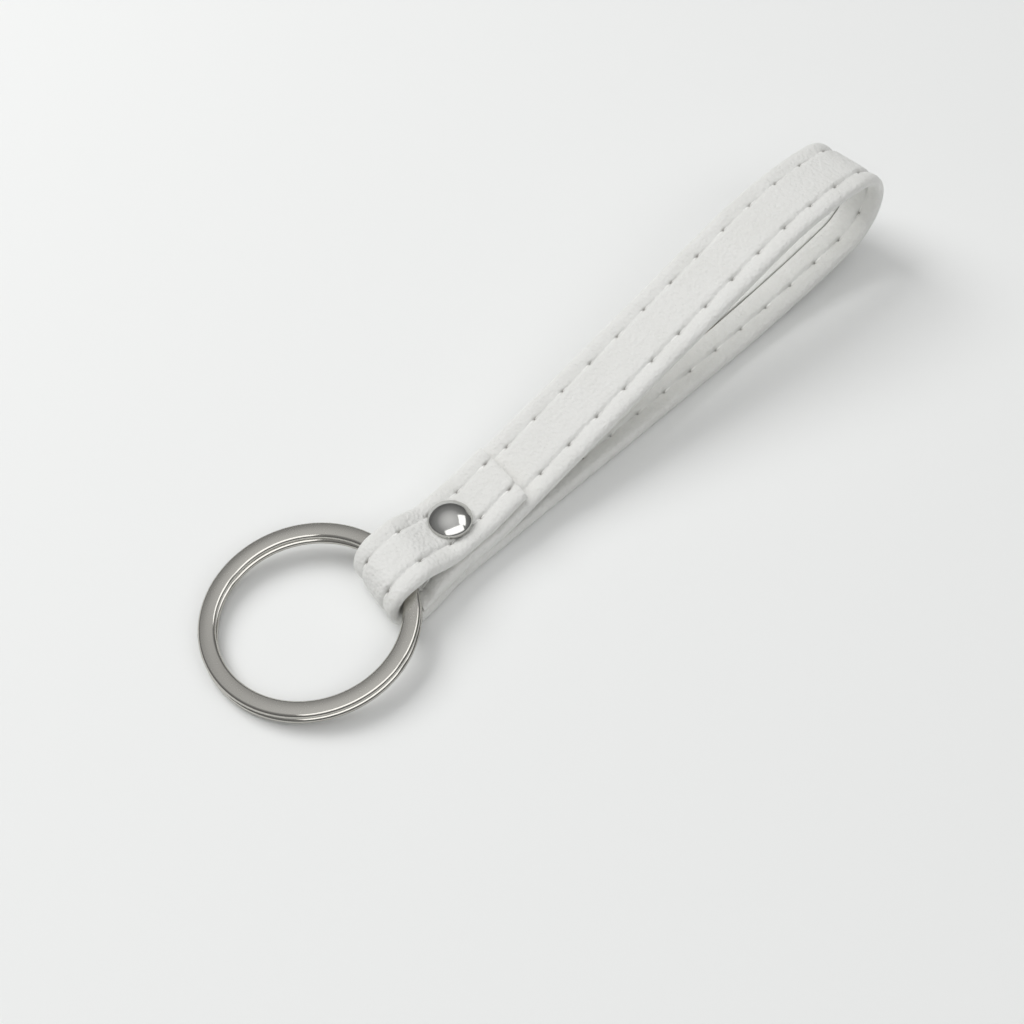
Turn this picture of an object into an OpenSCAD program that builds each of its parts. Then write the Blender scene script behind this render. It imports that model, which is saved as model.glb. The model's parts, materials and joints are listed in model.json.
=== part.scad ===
// Key holder: a padded leather strap folded into a hand loop, closed by one
// double cap rivet, with a flat split ring held in the fold at its short end.
// Millimetres, +Z up. It lies on its lower strand, +X points along the strap
// to the hand loop, and the origin is under the middle of the whole holder.

/* [Strap] */
// Width of the strap
strap_w = 12.8; // [12.4:0.2:14]
// Width of the tongue that holds the ring, from its shoulders to the tab's end
tongue_w = 11.2; // [10.4:0.2:11.6]
// Thickness of the finished strap, cover and filler together
strap_t = 2.05; // [1.9:0.05:2.4]
// Thickness of the cover leather
cover_t = 0.75; // [0.7:0.05:0.85]
// Length from the ring fold to the end of the hand loop
strap_len = 111; // [98:1:130]
// Width of the slit where the turned edges meet on the back
slit_w = 0.5; // [0.2:0.1:1]
// Air between two layers that lie on each other
layer_gap = 0.1; // [0.05:0.05:0.2]
// Air around the filler inside the cover
core_fit = 0.03; // [0.01:0.01:0.06]

/* [Hand loop] */
// Radius where the upper strand lifts off the lower one
lift_r = 14; // [10:1:20]
// Slope of the upper strand between lift and crown, in degrees
lift_slope = 13.4; // [11:0.2:16]
// Radius of the crown over the loop
crown_r = 60; // [40:1:90]
// Slope at which the crown runs down into the bend, in degrees
crown_fall = 9; // [4:0.5:14]
// Radius of the lower strand where it leaves the ground
heel_r = 200; // [120:10:260]
// Slope at which the lower strand runs up into the bend, in degrees
heel_turn = 10; // [4:0.5:12]

/* [Stitching] */
// Length of one stitch
stitch_pitch = 6.2; // [5:0.2:7.4]
// Distance of each stitch row from the strap's edge
row_inset = 2.8; // [2.5:0.1:2.9]
// Diameter of the thread
thread_d = 0.45; // [0.35:0.05:0.5]
// Depth of the valley that a stitch row pulls into the leather
groove_depth = 0.5; // [0.46:0.01:0.52]
// Width of the valley
groove_w = 1; // [0.9:0.05:1.2]
// Bare length between two stitches, where the needle went in
stitch_space = 0.5; // [0.3:0.1:1]
// Plain leather at each cut end before the first stitch
end_margin = 1.4; // [1.2:0.2:4]

/* [Rivet] */
// Diameter of the front cap
front_cap_d = 6.6; // [6:0.1:7.8]
// Space between the edge of the back cap and the stitch rows
cap_row_gap = 0.1; // [0.06:0.02:0.2]
// Height of the upright rim of the front cap
cap_rim = 0.7; // [0.46:0.02:0.8]
// Height of the dome above the rim
cap_dome = 1.6; // [0.7:0.05:1.7]
// Sheet thickness of the front cap
cap_sheet = 0.2; // [0.15:0.01:0.22]
// Height of the flat back cap, which is sunk flush into the leather
back_cap_h = 0.56; // [0.54:0.02:0.64]
// Distance of the rivet from the end of the inner layer
rivet_setback = 6.6; // [6:0.1:8]
// Length of the tab beyond the rivet
tab_tail = 11.6; // [10:0.1:16]
// Diameter of the rivet's post
post_d = 2.2; // [1.8:0.1:2.4]
// Wall of the socket around the post
socket_wall = 0.35; // [0.25:0.05:0.5]

/* [Key ring] */
// Outer diameter of the split ring
ring_od = 32; // [28:0.5:36]
// Width of the flat wire, measured along a radius
wire_w = 2.6; // [2.2:0.1:3]
// Thickness of one of the ring's two coils
coil_t = 1.25; // [1:0.05:1.4]
// Gap between the two coils
coil_gap = 0.1; // [0.06:0.02:0.2]
// Rounding of the ring's outer edges
wire_edge_r = 0.4; // [0.3:0.05:0.5]
// Bevel of the wire's edges at the gap between the coils
seam_bevel = 0.12; // [0.08:0.02:0.16]
// Angle that the ring stands aside of the strap, in degrees
ring_yaw = 13; // [0:1:15]
// Air between the swinging wire and the leather of the fold
fold_clear = 0.25; // [0.25:0.05:0.4]
// Distance of the tongue's shoulders from the fold
shoulder_run = 1.2; // [0.6:0.1:3]

/* [Hidden] */

// How finely round shapes are drawn
ring_fn = 144;
edge_fn = 24;
turn_step = 6;
// Overrun of every cut past the surface that it cuts, less than the air between two layers
overrun = layer_gap / 2;
// Distances along the strap closer than this count as one place
same_place = 0.1;

// Colours
leather_white = "#f1f1ef";
filler_tan = "#b9a384";
thread_white = "#fafaf7";
nickel = "#b8b8b6";

// Strap section
core_t = strap_t - 2 * cover_t;
shoulder_w = (strap_w - tongue_w) / 2;
row_y = strap_w / 2 - row_inset;
tongue_row_y = tongue_w / 2 - row_inset;
thread_seat = 0.02;
thread_depth = groove_depth - thread_d / 2 - thread_seat;
back_cap_d = 2 * (row_y - groove_w / 2 - cap_row_gap);

// Ring and the hinge line on which it swings in the fold
ring_r = ring_od / 2;
ring_t = 2 * coil_t + coil_gap;
function inner_chord(width) =
    sqrt(pow(ring_r - wire_w, 2) - pow(width / 2 / cos(ring_yaw), 2));
axis_to_centre = (ring_r + inner_chord(tongue_w)) / 2;
// Radius that the wire sweeps round the hinge line within a given width of leather
function swept_r(width) = wire_edge_r
    + norm([axis_to_centre - inner_chord(width) - wire_edge_r, ring_t / 2 - wire_edge_r]);
crossover_angle = 30;
seam_lap_angle = 0.6;

// Fold that holds the ring
fold_in_r = swept_r(tongue_w) + fold_clear;
fold_mid_r = fold_in_r + strap_t / 2;
skew_run = tongue_w * tan(ring_yaw);
fold_x = strap_t + fold_in_r;
axis_x = fold_x + skew_run / 2;
axis_z = strap_t + fold_in_r;
inner_end_x = axis_x + strap_w / 2 * tan(ring_yaw) + swept_r(strap_w) + fold_clear;
rivet_x = inner_end_x + rivet_setback;
cap_room = 0.3;
layer_pitch = strap_t + layer_gap;
stack_h = 3 * strap_t + 2 * layer_gap;

// Drop of the tab from the top of the fold to the stack of layers
tab_drop = 2 * fold_in_r - strap_t - 2 * layer_gap;
tab_run = rivet_x - front_cap_d / 2 - cap_room - fold_x - skew_run;
tab_turn = 2 * atan2(tab_drop, tab_run);
tab_turn_r = tab_run / 2 / sin(tab_turn);
lift_x = rivet_x + front_cap_d / 2 + cap_room;
tab_lift_r = lift_r - layer_pitch;
tab_rest = tab_tail - front_cap_d / 2 - cap_room - tab_lift_r * lift_slope * PI / 180;

// Hand loop, seen from the side, along the middle of the strap's thickness. The
// length of its ramp and the radius of its bend close it, in height and in length
loop_rise = heel_r * (1 - cos(heel_turn)) - layer_pitch - lift_r * (1 - cos(lift_slope))
    - crown_r * (cos(crown_fall) - cos(lift_slope));
loop_run = strap_len - strap_t / 2 - lift_x - (crown_r + lift_r) * sin(lift_slope)
    - crown_r * sin(crown_fall);
bend_rise_share = cos(crown_fall) + cos(heel_turn);
bend_run_share = 1 - sin(crown_fall);
loop_share = sin(lift_slope) * bend_run_share + cos(lift_slope) * bend_rise_share;
ramp_len = (loop_rise * bend_run_share + loop_run * bend_rise_share) / loop_share;
bend_r = (loop_run * sin(lift_slope) - loop_rise * cos(lift_slope)) / loop_share;
bend_x = strap_len - bend_r - strap_t / 2;
heel_x = bend_x + (bend_r - heel_r) * sin(heel_turn);

// The strap as stretches [length, turn], from its inner end to its tab end.
// A turn is in degrees and to the left, and 0 is a straight stretch.
function arc(r, turn) = [r * abs(turn) * PI / 180, turn];
strap_path = [
    [lift_x - inner_end_x, 0],
    arc(lift_r, lift_slope),
    [ramp_len, 0],
    arc(crown_r, -lift_slope - crown_fall),
    arc(bend_r, crown_fall - 90),
    arc(bend_r, heel_turn - 90),
    arc(heel_r, -heel_turn),
    [heel_x - fold_x, 0],
    arc(fold_mid_r, -90),
    arc(fold_mid_r, -90),
    [skew_run, 0],
    arc(tab_turn_r, -tab_turn),
    arc(tab_turn_r, tab_turn),
    [front_cap_d + 2 * cap_room, 0],
    arc(tab_lift_r, lift_slope),
    [tab_rest, 0]
];
lower_strand = 7;

// A place on the strap is [x, z, heading, distance from the inner end]
path_start = [inner_end_x, layer_pitch + strap_t / 2, 0, 0];
function turn_radius(stretch) = stretch[0] / (stretch[1] * PI / 180);
function turned(p, r, turn) = [
    p[0] + r * (sin(p[2] + turn) - sin(p[2])),
    p[1] + r * (cos(p[2]) - cos(p[2] + turn)),
    p[2] + turn
];
function moved(p, stretch, dist) = stretch[1] == 0
    ? [p[0] + dist * cos(p[2]), p[1] + dist * sin(p[2]), p[2], p[3] + dist]
    : concat(turned(p, turn_radius(stretch), stretch[1] * dist / stretch[0]), p[3] + dist);
function place_list(p, i) = i == len(strap_path)
    ? [p]
    : concat([p], place_list(moved(p, strap_path[i], strap_path[i][0]), i + 1));
places = place_list(path_start, 0);
path_len = places[len(strap_path)][3];
function stretch_at(dist, i = 0) =
    i == len(strap_path) - 1 || dist < places[i + 1][3] ? i : stretch_at(dist, i + 1);
function place_at(dist) = let (i = stretch_at(dist))
    moved(places[i], strap_path[i], dist - places[i][3]);

// Stitches
stitch_count = floor((path_len - 2 * end_margin) / stitch_pitch);
first_hole = (path_len - stitch_count * stitch_pitch) / 2;

stitch_from = [for (i = [0:stitch_count - 1]) first_hole + i * stitch_pitch + stitch_space / 2];
stitch_len = stitch_pitch - stitch_space;

// The tongue's shoulders, and the last needle hole before them, where the rows step inwards
shoulder_at = places[lower_strand + 1][3] - shoulder_run;
row_step_at = first_hole + floor((shoulder_at - first_hole) / stitch_pitch) * stitch_pitch;

// Distances at which the strap has a section. All its pieces share them, so that a
// stitch follows the same flats as the leather below it: the ends of each stretch,
// the ends of each stitch in a turn, and enough places between these
function ascending(list) = len(list) < 2 ? list : let (pivot = list[floor(len(list) / 2)])
    concat(
        ascending([for (item = list) if (item < pivot) item]),
        [pivot],
        ascending([for (item = list) if (item > pivot) item])
    );
function in_turn(dist) = strap_path[stretch_at(dist)][1] != 0;
function near_end(dist) = min([for (p = places) abs(p[3] - dist)]) < same_place;
marks = ascending(concat(
    [for (p = places) p[3]],
    [for (from = stitch_from, dist = [from, from + stitch_len])
        if (in_turn(dist) && !near_end(dist)) dist]
));
stops = [
    for (i = [0:len(marks) - 2])
        let (turn = abs(place_at(marks[i + 1] - same_place)[2] - place_at(marks[i])[2]))
        let (steps = max(1, ceil(turn / turn_step)))
        for (k = [0:steps - 1])
            marks[i] + (marks[i + 1] - marks[i]) * k / steps
];
function stops_between(from, to) = concat(
    [from],
    [for (dist = stops) if (dist > from + same_place && dist < to - same_place) dist],
    [to]
);

// Rivet, from the sheet thicknesses
fit_gap = 0.03;
flange_t = cap_sheet;
post_r = post_d / 2;
socket_in_r = post_r + fit_gap;
socket_r = socket_in_r + socket_wall;
rivet_hole_r = socket_r + fit_gap;
lip_r = rivet_hole_r + fit_gap;
flange_r = (lip_r + back_cap_d / 2 - cap_sheet) / 2;
back_sheet = (back_cap_h - 2 * fit_gap) / 3;
post_end_gap = 0.4;

// The ring lies in the fold and touches the ground at its far side
tilt_reach = axis_to_centre + ring_r - wire_edge_r;
tilt_half = ring_t / 2 - wire_edge_r;
ring_tilt = asin((axis_z - wire_edge_r) / norm([tilt_reach, tilt_half])) - atan2(tilt_half, tilt_reach);

// Middle of the whole holder, which is the origin
ring_lean = [-sin(ring_tilt) * cos(ring_yaw), sin(ring_tilt) * sin(ring_yaw)];
ring_mid_x = axis_x - axis_to_centre * cos(ring_tilt) * cos(ring_yaw);
ring_mid_y = axis_to_centre * cos(ring_tilt) * sin(ring_yaw);
ring_half_x = (ring_r - wire_edge_r) * sqrt(1 - pow(ring_lean[0], 2))
    + tilt_half * abs(ring_lean[0]) + wire_edge_r;
middle_x = (ring_mid_x - ring_half_x + strap_len) / 2;
middle_y = ring_mid_y;

module in_frame() {
    translate([-middle_x, -middle_y, 0]) children();
}

// A flat band along the strap between two distances. Its depth runs from low to
// high, where 0 is the middle of the strap's thickness and the front is positive
function beside(p, depth) = [p[0] - depth * sin(p[2]), p[1] + depth * cos(p[2])];
module band(from, to, low, high, width) {
    run = [for (dist = stops_between(from, to)) place_at(dist)];
    last = len(run) - 1;
    outline = concat(
        [for (p = run) beside(p, low)],
        [for (i = [0:last]) beside(run[last - i], high)]
    );
    rotate([90, 0, 0])
        linear_extrude(height = width, center = true, convexity = 10) polygon(outline);
}

// The valley of one stitch row. side is 1 for the left row and -1 for the right
module valley(side, face) {
    top = strap_t / 2 + overrun;
    floor_at = strap_t / 2 - groove_depth;
    low = face < 0 ? -top : floor_at;
    high = face < 0 ? -floor_at : top;
    translate([0, side * row_y, 0]) band(-overrun, row_step_at, low, high, groove_w);
    translate([0, side * tongue_row_y, 0])
        band(row_step_at, path_len + overrun, low, high, groove_w);
}

// What is cut away beside the tongue
module beside_tongue(side) {
    width = shoulder_w + overrun;
    high = strap_t / 2 + overrun;
    translate([0, side * (tongue_w + width) / 2, 0])
        band(shoulder_at, path_len + overrun, -high, high, width);
}

// The filler, or the space for it, with the given air taken off and overrun at its ends
module core(air, past) {
    high = core_t / 2 - air;
    inset = 2 * (cover_t + air);
    band(-past, path_len + past, -high, high, tongue_w - inset);
    band(-past, shoulder_at - cover_t - air, -high, high, strap_w - inset);
}

module rivet_hole() {
    translate([rivet_x, 0, -overrun])
        cylinder(r = rivet_hole_r, h = stack_h + 2 * overrun, $fn = ring_fn);
}

module strap_cover() {
    color(leather_white) in_frame() difference() {
        band(0, path_len, -strap_t / 2, strap_t / 2, strap_w);
        beside_tongue(1);
        beside_tongue(-1);
        core(0, overrun);
        band(-overrun, path_len + overrun, -strap_t / 2 - overrun, 0, slit_w);
        valley(1, 1);
        valley(1, -1);
        valley(-1, 1);
        valley(-1, -1);
        rivet_hole();
        translate([rivet_x, 0, -overrun])
            cylinder(d = back_cap_d + 2 * fit_gap, h = back_cap_h + overrun, $fn = ring_fn);
    }
}

module strap_filler() {
    color(filler_tan) in_frame() difference() {
        core(core_fit, 0);
        rivet_hole();
    }
}

// The stitches of one row, each a bar that lies in the valley. face is 1 on the front
module stitch_row(side, face) {
    depth = face * (strap_t / 2 - thread_depth);
    for (from = stitch_from)
        translate([0, side * (from < row_step_at ? row_y : tongue_row_y), 0])
            band(from, from + stitch_len, depth - thread_d / 2, depth + thread_d / 2, thread_d);
}

module needle_thread_left() {
    color(thread_white) in_frame() stitch_row(1, 1);
}

module needle_thread_right() {
    color(thread_white) in_frame() stitch_row(-1, 1);
}

module bobbin_thread_left() {
    color(thread_white) in_frame() stitch_row(1, -1);
}

module bobbin_thread_right() {
    color(thread_white) in_frame() stitch_row(-1, -1);
}

// Half of a low dome of the given radius, for turning about its axis
module dome_section(r, rim, rise) {
    ball_r = (r * r + rise * rise) / 2 / rise;
    intersection() {
        square([r, rim + rise]);
        translate([0, rim + rise - ball_r]) circle(r = ball_r, $fn = 2 * ring_fn);
    }
}

module rivet_front_cap() {
    color(nickel) in_frame() translate([rivet_x, 0, stack_h])
        rotate_extrude($fn = ring_fn) difference() {
            dome_section(front_cap_d / 2, cap_rim, cap_dome);
            square([lip_r, cap_rim]);
            translate([0, cap_sheet])
                square([front_cap_d / 2 - cap_sheet, cap_rim - 2 * cap_sheet + fit_gap]);
            translate([0, cap_rim - cap_sheet])
                dome_section(front_cap_d / 2 - cap_sheet, fit_gap, cap_dome);
        }
}

module rivet_post() {
    tip = back_cap_h + post_end_gap;
    color(nickel) in_frame() translate([rivet_x, 0, 0]) {
        translate([0, 0, stack_h + cap_sheet]) cylinder(r = flange_r, h = flange_t, $fn = ring_fn);
        translate([0, 0, tip])
            cylinder(r = post_r, h = stack_h + cap_sheet + flange_t / 2 - tip, $fn = ring_fn);
    }
}

module rivet_socket() {
    floor_z = back_sheet + fit_gap;
    color(nickel) in_frame() translate([rivet_x, 0, 0]) {
        translate([0, 0, floor_z]) cylinder(r = flange_r, h = back_sheet, $fn = ring_fn);
        difference() {
            translate([0, 0, floor_z])
                cylinder(r = socket_r, h = stack_h - fit_gap - floor_z, $fn = ring_fn);
            translate([0, 0, back_cap_h]) cylinder(r = socket_in_r, h = stack_h, $fn = ring_fn);
        }
    }
}

module rivet_back_cap() {
    color(nickel) in_frame() translate([rivet_x, 0, 0])
        rotate_extrude($fn = ring_fn) difference() {
            square([back_cap_d / 2, back_cap_h]);
            translate([0, back_sheet]) square([flange_r + fit_gap, back_sheet + 2 * fit_gap]);
            translate([0, back_sheet]) square([lip_r, back_cap_h]);
        }
}

// Section of the two coils together, with round edges
module wire_section() {
    square([wire_w, ring_t - 2 * wire_edge_r], center = true);
    square([wire_w - 2 * wire_edge_r, ring_t], center = true);
    for (x = [-1, 1], y = [-1, 1])
        translate([x * (wire_w / 2 - wire_edge_r), y * (ring_t / 2 - wire_edge_r)])
            circle(r = wire_edge_r, $fn = edge_fn);
}

// Section of the gap between the coils, wider at its two mouths
module seam_section() {
    mouth = wire_w / 2 + overrun;
    neck = wire_w / 2 - seam_bevel;
    low = coil_gap / 2;
    high = low + seam_bevel + overrun;
    polygon([
        [-mouth, -high], [-neck, -low], [neck, -low], [mouth, -high],
        [mouth, high], [neck, low], [-neck, low], [-mouth, high]
    ]);
}

// What is cut away where the wire climbs from the lower coil to the upper one
module crossover_cut(mid_r) {
    run = 2 * mid_r * sin(crossover_angle / 2);
    climb = atan2(coil_t + coil_gap, run);
    difference() {
        rotate([0, 0, -crossover_angle / 2])
            rotate_extrude(angle = crossover_angle, $fn = ring_fn) translate([mid_r, 0])
                square([wire_w + 2 * overrun, ring_t + 2 * overrun], center = true);
        rotate([climb, 0, 0]) translate([mid_r, 0, 0])
            cube([2 * wire_w, 2 * run, coil_t * cos(climb)], center = true);
    }
}

// One flat wire wound twice, with the hinge line at +X of its own centre
module split_ring() {
    mid_r = ring_r - wire_w / 2;
    seam_start = crossover_angle / 2 - seam_lap_angle;
    color(nickel) in_frame() translate([axis_x, 0, axis_z])
        rotate([0, 0, -ring_yaw]) rotate([0, -ring_tilt, 0]) translate([-axis_to_centre, 0, 0])
            difference() {
                rotate_extrude($fn = ring_fn) translate([mid_r, 0]) wire_section();
                rotate([0, 0, seam_start])
                    rotate_extrude(angle = 360 - 2 * seam_start, $fn = ring_fn)
                        translate([mid_r, 0]) seam_section();
                crossover_cut(mid_r);
            }
}

strap_cover();
strap_filler();
needle_thread_left();
needle_thread_right();
bobbin_thread_left();
bobbin_thread_right();
rivet_front_cap();
rivet_post();
rivet_socket();
rivet_back_cap();
split_ring();
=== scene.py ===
"""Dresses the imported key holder: leather, stitches, rivet, split ring, and a pale stage.

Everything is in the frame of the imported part, in metres. Sizes that belong to the
leather's path are kept in millimetres and turned to metres where a mesh is made.
"""

import json
import math

import bmesh
import bpy
from bpy.props import FloatProperty, FloatVectorProperty, PointerProperty
from mathutils import Matrix, Vector, noise


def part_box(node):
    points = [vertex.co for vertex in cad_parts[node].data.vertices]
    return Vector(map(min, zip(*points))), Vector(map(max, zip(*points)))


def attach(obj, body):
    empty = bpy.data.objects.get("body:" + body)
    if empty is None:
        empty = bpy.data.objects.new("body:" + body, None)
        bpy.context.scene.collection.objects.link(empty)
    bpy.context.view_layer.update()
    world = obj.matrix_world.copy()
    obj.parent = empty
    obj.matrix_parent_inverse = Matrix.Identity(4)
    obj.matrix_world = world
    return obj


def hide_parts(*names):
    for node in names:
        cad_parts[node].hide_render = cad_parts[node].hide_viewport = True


bl_info = {
    "name": "Key Holder",
    "version": (1, 0, 0),
    "blender": (4, 5, 0),
    "location": "View3D > Sidebar > Key Holder",
    "description": "Builds the looks of a leather key holder with a rivet and a split ring",
    "category": "Object",
}

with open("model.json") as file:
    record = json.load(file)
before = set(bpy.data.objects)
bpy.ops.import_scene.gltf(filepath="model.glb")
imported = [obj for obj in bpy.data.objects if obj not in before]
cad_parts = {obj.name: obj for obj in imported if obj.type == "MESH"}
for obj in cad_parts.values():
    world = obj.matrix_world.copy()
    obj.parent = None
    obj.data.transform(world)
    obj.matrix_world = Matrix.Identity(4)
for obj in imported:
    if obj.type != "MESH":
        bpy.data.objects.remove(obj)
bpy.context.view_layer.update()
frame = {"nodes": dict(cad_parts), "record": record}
MM = 0.001
HINGE = frame["record"]["behaviour"]["joints"][0]


def linear(code):
    """Linear colour of an sRGB hex value."""
    parts = [int(code[i:i + 2], 16) / 255 for i in (1, 3, 5)]
    return tuple(c / 12.92 if c <= 0.04045 else ((c + 0.055) / 1.055) ** 2.4 for c in parts)


# ---------------------------------------------------------------- settings


def length(name, default, description):
    return FloatProperty(
        name=name, description=description, default=default * MM, unit="LENGTH", precision=5
    )


def colour(name, code, description):
    return FloatVectorProperty(
        name=name, description=description, subtype="COLOR", size=3, min=0, max=1,
        default=linear(code),
    )


class StrapSettings(bpy.types.PropertyGroup):
    """Sizes and colours of the leather strap."""

    width: length("Width", 12.8, "Width of the strap")
    tongue: length("Tongue", 11.5, "Width of the tongue round the ring, up to the tab's end")
    thickness: length("Thickness", 2.05, "Thickness of the strap, cover and filler together")
    cover: length("Cover", 0.75, "Thickness of the cover leather")
    edge: length("Edge rounding", 1.1, "How far the rolled edge reaches in from the side")
    valley: length("Valley depth", 0.42, "Depth of the leather pulled down along a stitch row")
    pit: length("Pit depth", 0.16, "Depth of the dimple at a needle hole, below the valley")
    slit: length("Slit", 0.16, "Width of the slit on the back where it lies closed")
    slit_open: length("Open slit", 0.8, "Width of the slit where the hand loop pulls it open")
    leather: colour("Leather", "#E7E7E4", "Colour of the coated leather")
    leather_shade: colour("Leather shade", "#DCDCD7", "Colour of the leather where it is duller")
    # painted shade: needle holes, the line beside each thread and the slit's inside are darkened
    # towards this colour
    painted_hole_shade: colour("Hole shade", "#8F8D88", "Colour of the leather deep in a needle hole")
    filler: colour("Filler", "#B39A78", "Colour of the padding strip")
    fibre: colour("Filler fibre", "#8C7354", "Colour of the darker fibres in the padding strip")


class ThreadSettings(bpy.types.PropertyGroup):
    """Sizes and colour of the stitches."""

    pitch: length("Stitch", 6.2, "Length of one stitch")
    inset: length("Inset", 2.8, "Distance of a row from the strap's edge")
    diameter: length("Diameter", 0.48, "Diameter of the thread")
    sink: length("Sink", 0.5, "How far a stitch dives into its needle holes")
    colour: colour("Thread", "#F7F7F4", "Colour of the thread")


class MetalSettings(bpy.types.PropertyGroup):
    """Sizes and colours of the rivet and the ring."""

    cap: length("Cap", 6.6, "Diameter of the rivet's front cap")
    back_cap: length("Back cap", 6.0, "Diameter of the rivet's back cap")
    ring: length("Ring", 32.0, "Outer diameter of the split ring")
    wire: length("Wire width", 2.6, "Width of the ring's flat wire along a radius")
    coil: length("Coil", 1.25, "Thickness of one coil of the ring")
    gap: length("Coil gap", 0.1, "Gap between the ring's coils")
    edge: length("Wire edge", 0.42, "Softened bevel of the wire's edges")
    crown: length("Wire crown", 0.09, "How far the wire's faces rise in the middle")
    nickel: colour("Nickel", "#C6C6C3", "Colour of the polished plate on the rivet")
    steel: colour("Ring steel", "#C2C0BA", "Colour of the ring")


class StageSettings(bpy.types.PropertyGroup):
    """Floor, light and camera."""

    floor: colour("Floor", "#F2F3F2", "Colour of the floor")
    lens: FloatProperty(name="Lens", description="Focal length in millimetres", default=63.28)
    azimuth: FloatProperty(
        name="Azimuth", description="Direction from the camera to the object",
        default=math.radians(44.6), subtype="ANGLE",
    )
    elevation: FloatProperty(
        name="Elevation", description="How far the camera looks down",
        default=math.radians(52.95), subtype="ANGLE",
    )
    distance: length("Distance", 271.2, "Distance from the camera to its target")


class KeyHolderSettings(bpy.types.PropertyGroup):
    """All settings of the key holder."""

    strap: PointerProperty(type=StrapSettings)
    thread: PointerProperty(type=ThreadSettings)
    metal: PointerProperty(type=MetalSettings)
    stage: PointerProperty(type=StageSettings)


# ---------------------------------------------------------------- path of the strap

# Strap coordinates in millimetres: x from the outside of the fold, y from the middle of the
# strap, z from the ground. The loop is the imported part's own. The fold lies closer round
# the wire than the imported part's, which leaves a full circle for the swinging ring, and the
# inner end is pared thin and reaches in under the wire.

# Middle of the whole holder's box, the rivet's place and the top of the stack under its cap
MIDDLE_X = 43.58114
MIDDLE_Y = 3.1427
RIVET_X = 16.67894
STACK_H = 6.35

# The resting ring: from the swing axis to its middle, its tilt, and the slant of the axis
AXIS_TO_CENTRE = 14.05245
RING_TILT = math.radians(6.18644)
YAW = math.atan2(HINGE["axis"][0], HINGE["axis"][1])

# Inner end of the strip: x, z, heading in degrees, distance along the path
START = (6.3, 3.175, 0.0, 0.0)

# Hand loop: where the strands part, the rising strand, its crown, the round end, the heel
LIFT_X = 20.27894
LIFT_R = 14
LIFT_SLOPE = 13.4
RAMP_LEN = 58.7702
CROWN_R = 60
CROWN_FALL = 9
BEND_R = 7.10131
HEEL_R = 200
HEEL_TURN = 10
HEEL_X = 69.37718

# Ring fold: its turn round the wire, its roof, and the step down to the stack
FOLD_X = 5.15
FOLD_R = 3.025
FOLD_RISE = 3
ROOF_LEN = 2.6
DROP_R = 5
DROP_TURN = 20
DROP_LEN = 3.72

# Tab: the start of its flat part, its height over the strand below, and its free end
FLAT_FROM = 14.76
LAYER_PITCH = 2.15
TAB_END = 5.35

# Slant and sideways shift of the sections near the ring
TURN_RUN = 9        # run over which the sections turn to the ring's line
TAB_SLANT = 0.38    # share of that slant that is gone at the tab's end
END_SPLAY = 0.8     # shift of the inner end
FOLD_SPLAY = 1.0    # shift where the fold starts, gone SPLAY_RUN further on
SPLAY_RUN = 5
ROOF_SHIFT = 0.2    # shift over the ring
TAB_SHIFT = 0.3     # shift back at the tab's end


def arc(radius, turn):
    """Stretch that turns by an angle in degrees."""
    return radius * math.radians(abs(turn)), turn


# Stretches (length, turn in degrees to the left), from the inner end to the tab end
STRETCHES = [
    (LIFT_X - START[0], 0),
    arc(LIFT_R, LIFT_SLOPE),
    (RAMP_LEN, 0),
    arc(CROWN_R, -LIFT_SLOPE - CROWN_FALL),
    arc(BEND_R, CROWN_FALL + HEEL_TURN - 180),
    arc(HEEL_R, -HEEL_TURN),
    (HEEL_X - FOLD_X, 0),
    arc(FOLD_R, FOLD_RISE - 180),
    (ROOF_LEN, 0),
    arc(DROP_R, -FOLD_RISE - DROP_TURN),
    (DROP_LEN, 0),
    arc(DROP_R, DROP_TURN),
    (LIFT_X - FLAT_FROM, 0),
    arc(LIFT_R - LAYER_PITCH, LIFT_SLOPE),
    (TAB_END, 0),
]


def moved(place, stretch, run):
    """Place after a run along a stretch that starts at the given place."""
    x, z, heading, dist = place
    full_run, turn = stretch
    a = math.radians(heading)
    if turn == 0:
        return x + run * math.cos(a), z + run * math.sin(a), heading, dist + run
    radius = full_run / math.radians(turn)
    end = heading + turn * run / full_run
    b = math.radians(end)
    return (
        x + radius * (math.sin(b) - math.sin(a)),
        z + radius * (math.cos(a) - math.cos(b)),
        end,
        dist + run,
    )


PLACES = [START]
for stretch in STRETCHES:
    PLACES.append(moved(PLACES[-1], stretch, stretch[0]))
PATH_LEN = PLACES[-1][3]
HEEL_FROM = PLACES[6][3]
FOLD_FROM = PLACES[7][3]
ROOF_TO = PLACES[9][3]
SHOULDER = FOLD_FROM - 0.4
FIRST_HOLE = 1.43
HALF_T = 1.025

# Pared inner end: its share of the full thickness, kept up to PARED_FLAT and gone at PARED_TO
PARED = 0.46
PARED_FLAT = 1.4
PARED_TO = 3.2


def place_at(dist):
    """Place on the path at a distance from the inner end."""
    i = 0
    while i < len(STRETCHES) - 1 and dist >= PLACES[i + 1][3]:
        i += 1
    return moved(PLACES[i], STRETCHES[i], dist - PLACES[i][3])


def ease(low, high, value):
    """Smooth step from 0 at low to 1 at high."""
    share = min(1.0, max(0.0, (value - low) / (high - low)))
    return share * share * (3 - 2 * share)


def skew_at(dist):
    """Slant of a section: along the ring's line in the fold, and less at the tab's end."""
    if dist < FOLD_FROM / 2:
        return math.tan(YAW) * (1 - ease(1, TURN_RUN, dist))
    turned = ease(FOLD_FROM - TURN_RUN, FOLD_FROM - 1, dist)
    return math.tan(YAW) * (turned - TAB_SLANT * ease(ROOF_TO, PATH_LEN - 6, dist))


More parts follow.
